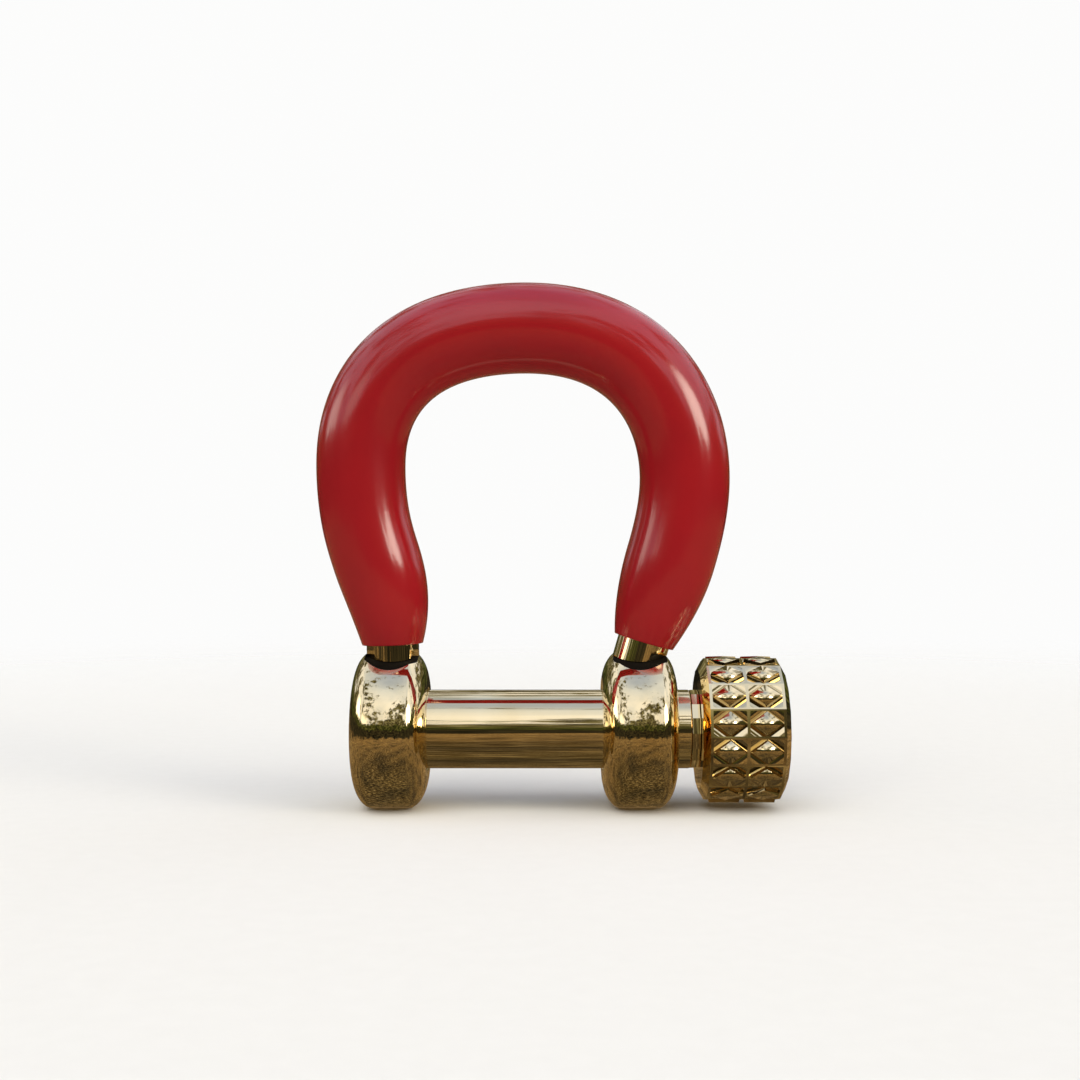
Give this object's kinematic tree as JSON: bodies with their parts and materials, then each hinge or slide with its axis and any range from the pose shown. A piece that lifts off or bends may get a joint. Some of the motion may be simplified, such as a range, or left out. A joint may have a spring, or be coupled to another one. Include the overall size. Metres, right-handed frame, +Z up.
{
  "type": "bow shackle",
  "caption": "Bow shackle with a thick glossy sleeve over a horseshoe rod, two domed ears and a knob-driven screw pin that backs out and pulls clear.",
  "frame": {"origin": "lowest line of the ears, under the middle of the overall length and thickness", "axes": "+X along the pin towards the knob, +Y through the eye away from the viewer, +Z up from the pin to the crown of the bow"},
  "size_m": [0.0954, 0.032, 0.1072],
  "materials": {
    "gold_plate": "mirror-polished gold plating",
    "red_sleeve": "glossy moulded red",
    "bare_steel": "turned and threaded"
  },
  "bodies": {
    "bow_assembly": {"bow_rod": "gold_plate", "bow_sleeve": "red_sleeve", "left_ear": "gold_plate", "left_ear_dowel": "gold_plate", "right_ear": "gold_plate", "right_ear_dowel": "gold_plate"},
    "barrel": {"pin_barrel": "gold_plate"},
    "thrust_ring": {"thrust_collar": "gold_plate"},
    "knob_screw": {"pin_bolt": "bare_steel", "knob": "gold_plate", "knob_end_screw": "bare_steel"}
  },
  "joints": [
    {"name": "pin_withdraw", "type": "slide", "parent": "bow_assembly", "child": "barrel", "axis": [1, 0, 0], "range_m": [0, 0.056]},
    {"name": "thread_travel", "type": "slide", "parent": "barrel", "child": "thrust_ring", "axis": [1, 0, 0], "range_m": [0, 0.0105]},
    {"name": "knob_turn", "type": "hinge", "parent": "thrust_ring", "child": "knob_screw", "pos_m": [0, 0, 0.016], "axis": [1, 0, 0], "range_deg": [0, 2160]}
  ],
  "couplings": [
    {"joint": "knob_turn", "follows": "thread_travel", "rad_per_m": 3590.4}
  ]
}
